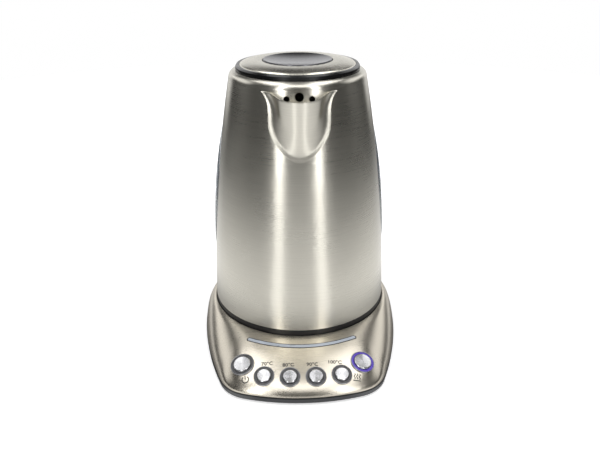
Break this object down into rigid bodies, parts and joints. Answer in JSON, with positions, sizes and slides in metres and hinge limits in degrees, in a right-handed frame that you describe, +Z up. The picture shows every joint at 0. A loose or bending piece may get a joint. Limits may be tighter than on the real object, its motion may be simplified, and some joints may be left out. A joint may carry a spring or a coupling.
{
  "type": "electric kettle",
  "caption": "Cordless steel jug kettle with a spout, rear handle and hinged lid, on a powered base with sloping temperature buttons.",
  "frame": {"origin": "centre of the bounding box in plan, on the table under the rubber feet", "axes": "+Z up, front of the kettle (spout and buttons) towards -Y, +X to the right seen from the front"},
  "size_m": [0.1774, 0.2412, 0.2461],
  "materials": {
    "jug_steel": "drawn steel, fine grain round the jug",
    "spout_steel": "pressed steel, fine grain",
    "base_steel": "pressed steel, fine straight grain",
    "lid_steel": "pressed steel, round grain",
    "inner_steel": "plain mill finish",
    "black_plastic": "fine spark texture",
    "handle_black": "satin moulding",
    "soft_grip": "soft-touch",
    "trim_black": "polished moulding",
    "tray_grey": "fine spark texture",
    "lid_button_grey": "polished moulding",
    "black_rubber": "matt",
    "silicone": "translucent grey",
    "window_clear": "clear with a blue tint",
    "light_bar_plastic": "translucent, unlit",
    "ring_smoke": "smoked translucent, unlit",
    "ring_lit": "translucent, lit blue",
    "bezel_chrome": "bright",
    "button_metal": "spun, with a bevelled edge",
    "contact_brass": "plain",
    "diffuser_aluminium": "plain",
    "element_sheath": "heat-darkened",
    "circuit_board": "solder mask",
    "component_black": "plain",
    "capacitor_can": "sleeved can",
    "screw_steel": "zinc plated",
    "latch_acetal": "plain"
  },
  "bodies": {
    "base": {"rubber_feet": "black_rubber", "base_tray": "tray_grey", "base_gasket": "black_rubber", "base_cover": "base_steel", "seat_dish": "black_plastic", "base_screws": "screw_steel", "base_socket": "black_plastic", "socket_contacts": "contact_brass", "cord_gland": "black_rubber", "light_bar": "light_bar_plastic", "light_board": "circuit_board", "button_bezels": "bezel_chrome", "small_light_rings": "ring_smoke", "power_light_ring": "ring_smoke", "keep_warm_light_ring": "ring_lit", "control_board": "circuit_board", "button_switches": "component_black", "power_board": "circuit_board", "relay": "component_black", "capacitors": "capacitor_can"},
    "connector": {"jug_connector": "black_plastic", "connector_contacts": "contact_brass"},
    "jug": {"jug_shell": "jug_steel", "spout": "spout_steel", "water_window_right": "window_clear", "water_window_left": "window_clear", "window_seals": "silicone", "window_frames": "black_plastic", "bottom_cover": "black_plastic", "bottom_mount_ring": "inner_steel", "bottom_screws": "screw_steel", "vessel_floor": "inner_steel", "heat_diffuser": "diffuser_aluminium", "heating_element": "element_sheath", "temperature_probe": "inner_steel", "probe_seal": "silicone", "control_housing": "black_plastic", "dry_boil_discs": "inner_steel", "hinge_bracket": "inner_steel", "hinge_pin": "screw_steel", "handle_shell": "handle_black", "handle_grip": "soft_grip", "handle_lower_bracket": "inner_steel", "handle_screw": "screw_steel"},
    "lid": {"lid_ring": "trim_black", "lid_cover": "lid_steel", "lid_hub": "black_plastic", "lid_inner_plate": "inner_steel", "lid_seal": "silicone", "lid_screws": "screw_steel", "button_spring": "screw_steel"},
    "lid_button": {"lid_button": "lid_button_grey"},
    "latch_right": {"latch_right": "latch_acetal"},
    "latch_left": {"latch_left": "latch_acetal"},
    "temperature_70_button": {"temperature_70_button": "button_metal"},
    "temperature_80_button": {"temperature_80_button": "button_metal"},
    "temperature_90_button": {"temperature_90_button": "button_metal"},
    "temperature_100_button": {"temperature_100_button": "button_metal"},
    "power_button": {"power_button": "button_metal"},
    "keep_warm_button": {"keep_warm_button": "button_metal"}
  },
  "joints": [
    {"name": "jug_lift", "type": "slide", "parent": "base", "child": "connector", "axis": [0, 0, 1], "range_m": [0, 0.12]},
    {"name": "jug_swivel", "type": "hinge", "parent": "connector", "child": "jug", "pos_m": [0, 0.01137, 0.03], "axis": [0, 0, 1], "continuous": true},
    {"name": "lid_hinge", "type": "hinge", "parent": "jug", "child": "lid", "pos_m": [0, 0.07287, 0.2368], "axis": [-1, 0, 0], "range_deg": [0, 80]},
    {"name": "lid_button_press", "type": "slide", "parent": "lid", "child": "lid_button", "axis": [0, 0, -1], "range_m": [0, 0.0025], "stiffness_N_per_m": 800, "deforming": ["button_spring"]},
    {"name": "latch_right_slide", "type": "slide", "parent": "lid", "child": "latch_right", "axis": [-1, 0, 0], "range_m": [0, 0.0025]},
    {"name": "latch_left_slide", "type": "slide", "parent": "lid", "child": "latch_left", "axis": [1, 0, 0], "range_m": [0, 0.0025]},
    {"name": "temperature_70_button_press", "type": "slide", "parent": "base", "child": "temperature_70_button", "axis": [0.0972, 0.4571, -0.8841], "range_m": [0, 0.001], "stiffness_N_per_m": 1500},
    {"name": "temperature_80_button_press", "type": "slide", "parent": "base", "child": "temperature_80_button", "axis": [0.0323, 0.4614, -0.8866], "range_m": [0, 0.001], "stiffness_N_per_m": 1500},
    {"name": "temperature_90_button_press", "type": "slide", "parent": "base", "child": "temperature_90_button", "axis": [-0.0323, 0.4614, -0.8866], "range_m": [0, 0.001], "stiffness_N_per_m": 1500},
    {"name": "temperature_100_button_press", "type": "slide", "parent": "base", "child": "temperature_100_button", "axis": [-0.0972, 0.4571, -0.8841], "range_m": [0, 0.001], "stiffness_N_per_m": 1500},
    {"name": "power_button_press", "type": "slide", "parent": "base", "child": "power_button", "axis": [0.2099, 0.3267, -0.9215], "range_m": [0, 0.001], "stiffness_N_per_m": 1500},
    {"name": "keep_warm_button_press", "type": "slide", "parent": "base", "child": "keep_warm_button", "axis": [-0.2099, 0.3267, -0.9215], "range_m": [0, 0.001], "stiffness_N_per_m": 1500}
  ],
  "couplings": [
    {"joint": "latch_right_slide", "follows": "lid_button_press", "ratio": 1},
    {"joint": "latch_left_slide", "follows": "lid_button_press", "ratio": 1}
  ]
}
